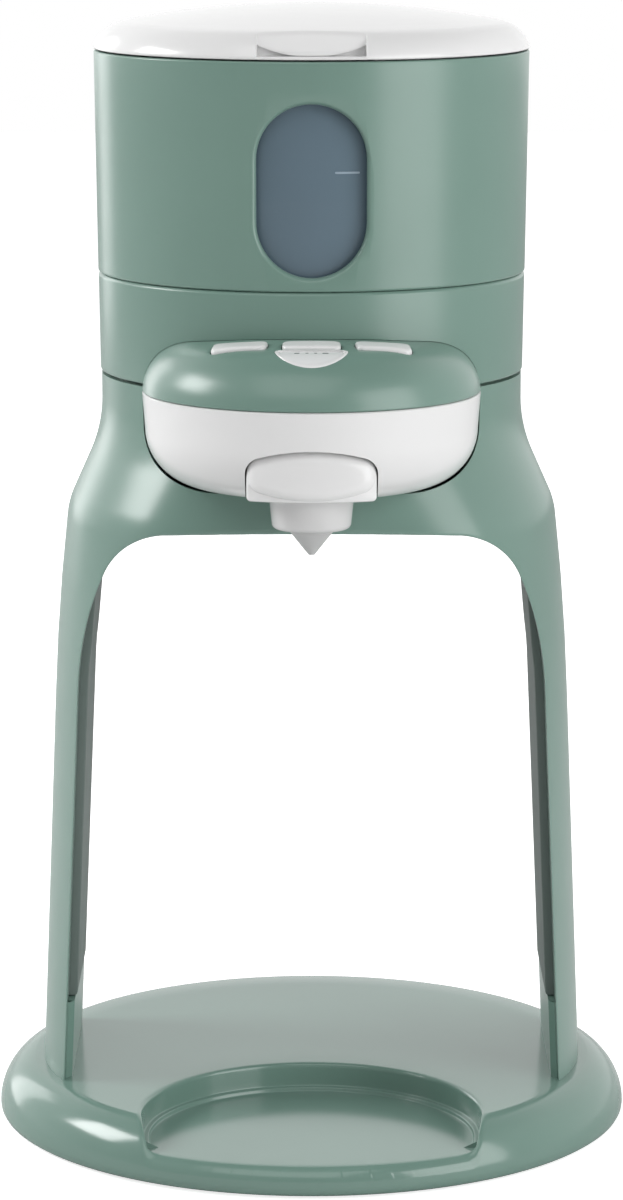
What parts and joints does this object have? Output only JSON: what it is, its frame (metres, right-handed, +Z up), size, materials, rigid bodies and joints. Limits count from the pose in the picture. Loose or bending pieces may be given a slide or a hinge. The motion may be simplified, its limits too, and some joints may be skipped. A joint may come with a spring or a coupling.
{
  "type": "baby formula maker",
  "caption": "Countertop formula water dispenser: round base with a bottle recess, arched legs, lift-out water tank with hinged lid, rounded control pod and pull-out spout.",
  "frame": {"origin": "centre of the base's round footprint, on the surface it stands on", "axes": "+Z up, -Y towards the user (the control pod and spout side), +X to the user's right"},
  "size_m": [0.195, 0.195, 0.344],
  "materials": {
    "body_green": "fine satin",
    "liner_grey": "satin",
    "gloss_white": "glossy",
    "tank_tint": "clear, tinted",
    "display_white": "glossy, lit",
    "tip_grey": "satin",
    "soft_grey": "matt",
    "steel": "bright",
    "inner_plastic": "matt",
    "board_green": "satin",
    "heater_metal": "satin",
    "hose_clear": "satin"
  },
  "bodies": {
    "stand": {"base_top": "body_green", "base_plate": "inner_plastic", "base_feet": "soft_grey", "base_screws": "steel", "leg_screws": "steel", "cord_gland": "soft_grey", "stand_shell": "body_green", "leg_liner_left": "liner_grey", "leg_liner_right": "liner_grey", "ceiling_panel": "inner_plastic", "lower_housing": "body_green", "upper_housing": "body_green", "tank_deck": "inner_plastic", "seat_gasket": "soft_grey", "deck_screws": "steel", "pod_bowl": "gloss_white", "pod_cap": "body_green", "display_lens": "display_white", "display_bezel": "gloss_white", "control_board": "board_green", "button_switches": "inner_plastic", "outlet_socket": "inner_plastic", "chassis": "inner_plastic", "chassis_screws": "steel", "heater": "heater_metal", "heat_sensor": "heater_metal", "pump": "inner_plastic", "power_board": "board_green", "power_parts": "inner_plastic", "inlet_hose": "hose_clear", "feed_hose": "hose_clear", "outlet_hose": "hose_clear"},
    "tank": {"water_tank": "tank_tint", "hinge_pin": "steel", "valve_cage": "gloss_white", "valve_spring": "steel"},
    "lid": {"lid_cover": "gloss_white", "lid_liner": "gloss_white", "lid_gasket": "soft_grey"},
    "valve": {"valve_plunger": "gloss_white", "valve_seal": "soft_grey"},
    "spout": {"spout_carrier": "gloss_white", "nozzle": "gloss_white", "nozzle_tip": "tip_grey", "spout_seal": "soft_grey"},
    "key_left": {"button_left": "gloss_white"},
    "key_centre": {"button_centre": "gloss_white"},
    "key_right": {"button_right": "gloss_white"}
  },
  "joints": [
    {"name": "tank_lift", "type": "slide", "parent": "stand", "child": "tank", "axis": [0, 0, 1], "range_m": [0, 0.085]},
    {"name": "lid_hinge", "type": "hinge", "parent": "tank", "child": "lid", "pos_m": [0, 0.069, 0.3323], "axis": [-1, 0, 0], "range_deg": [0, 100]},
    {"name": "valve_stroke", "type": "slide", "parent": "tank", "child": "valve", "axis": [0, 0, 1], "range_m": [-0.003, 0], "deforming": ["valve_spring"]},
    {"name": "spout_pull", "type": "slide", "parent": "stand", "child": "spout", "axis": [0, -1, 0], "range_m": [0, 0.042]},
    {"name": "key_left_press", "type": "slide", "parent": "stand", "child": "key_left", "axis": [0, 0, -1], "range_m": [0, 0.0008], "stiffness_N_per_m": 1200},
    {"name": "key_centre_press", "type": "slide", "parent": "stand", "child": "key_centre", "axis": [0, 0, -1], "range_m": [0, 0.0008], "stiffness_N_per_m": 1200},
    {"name": "key_right_press", "type": "slide", "parent": "stand", "child": "key_right", "axis": [0, 0, -1], "range_m": [0, 0.0008], "stiffness_N_per_m": 1200}
  ],
  "couplings": [
    {"joint": "valve_stroke", "follows": "tank_lift", "ratio": -0.035294}
  ]
}
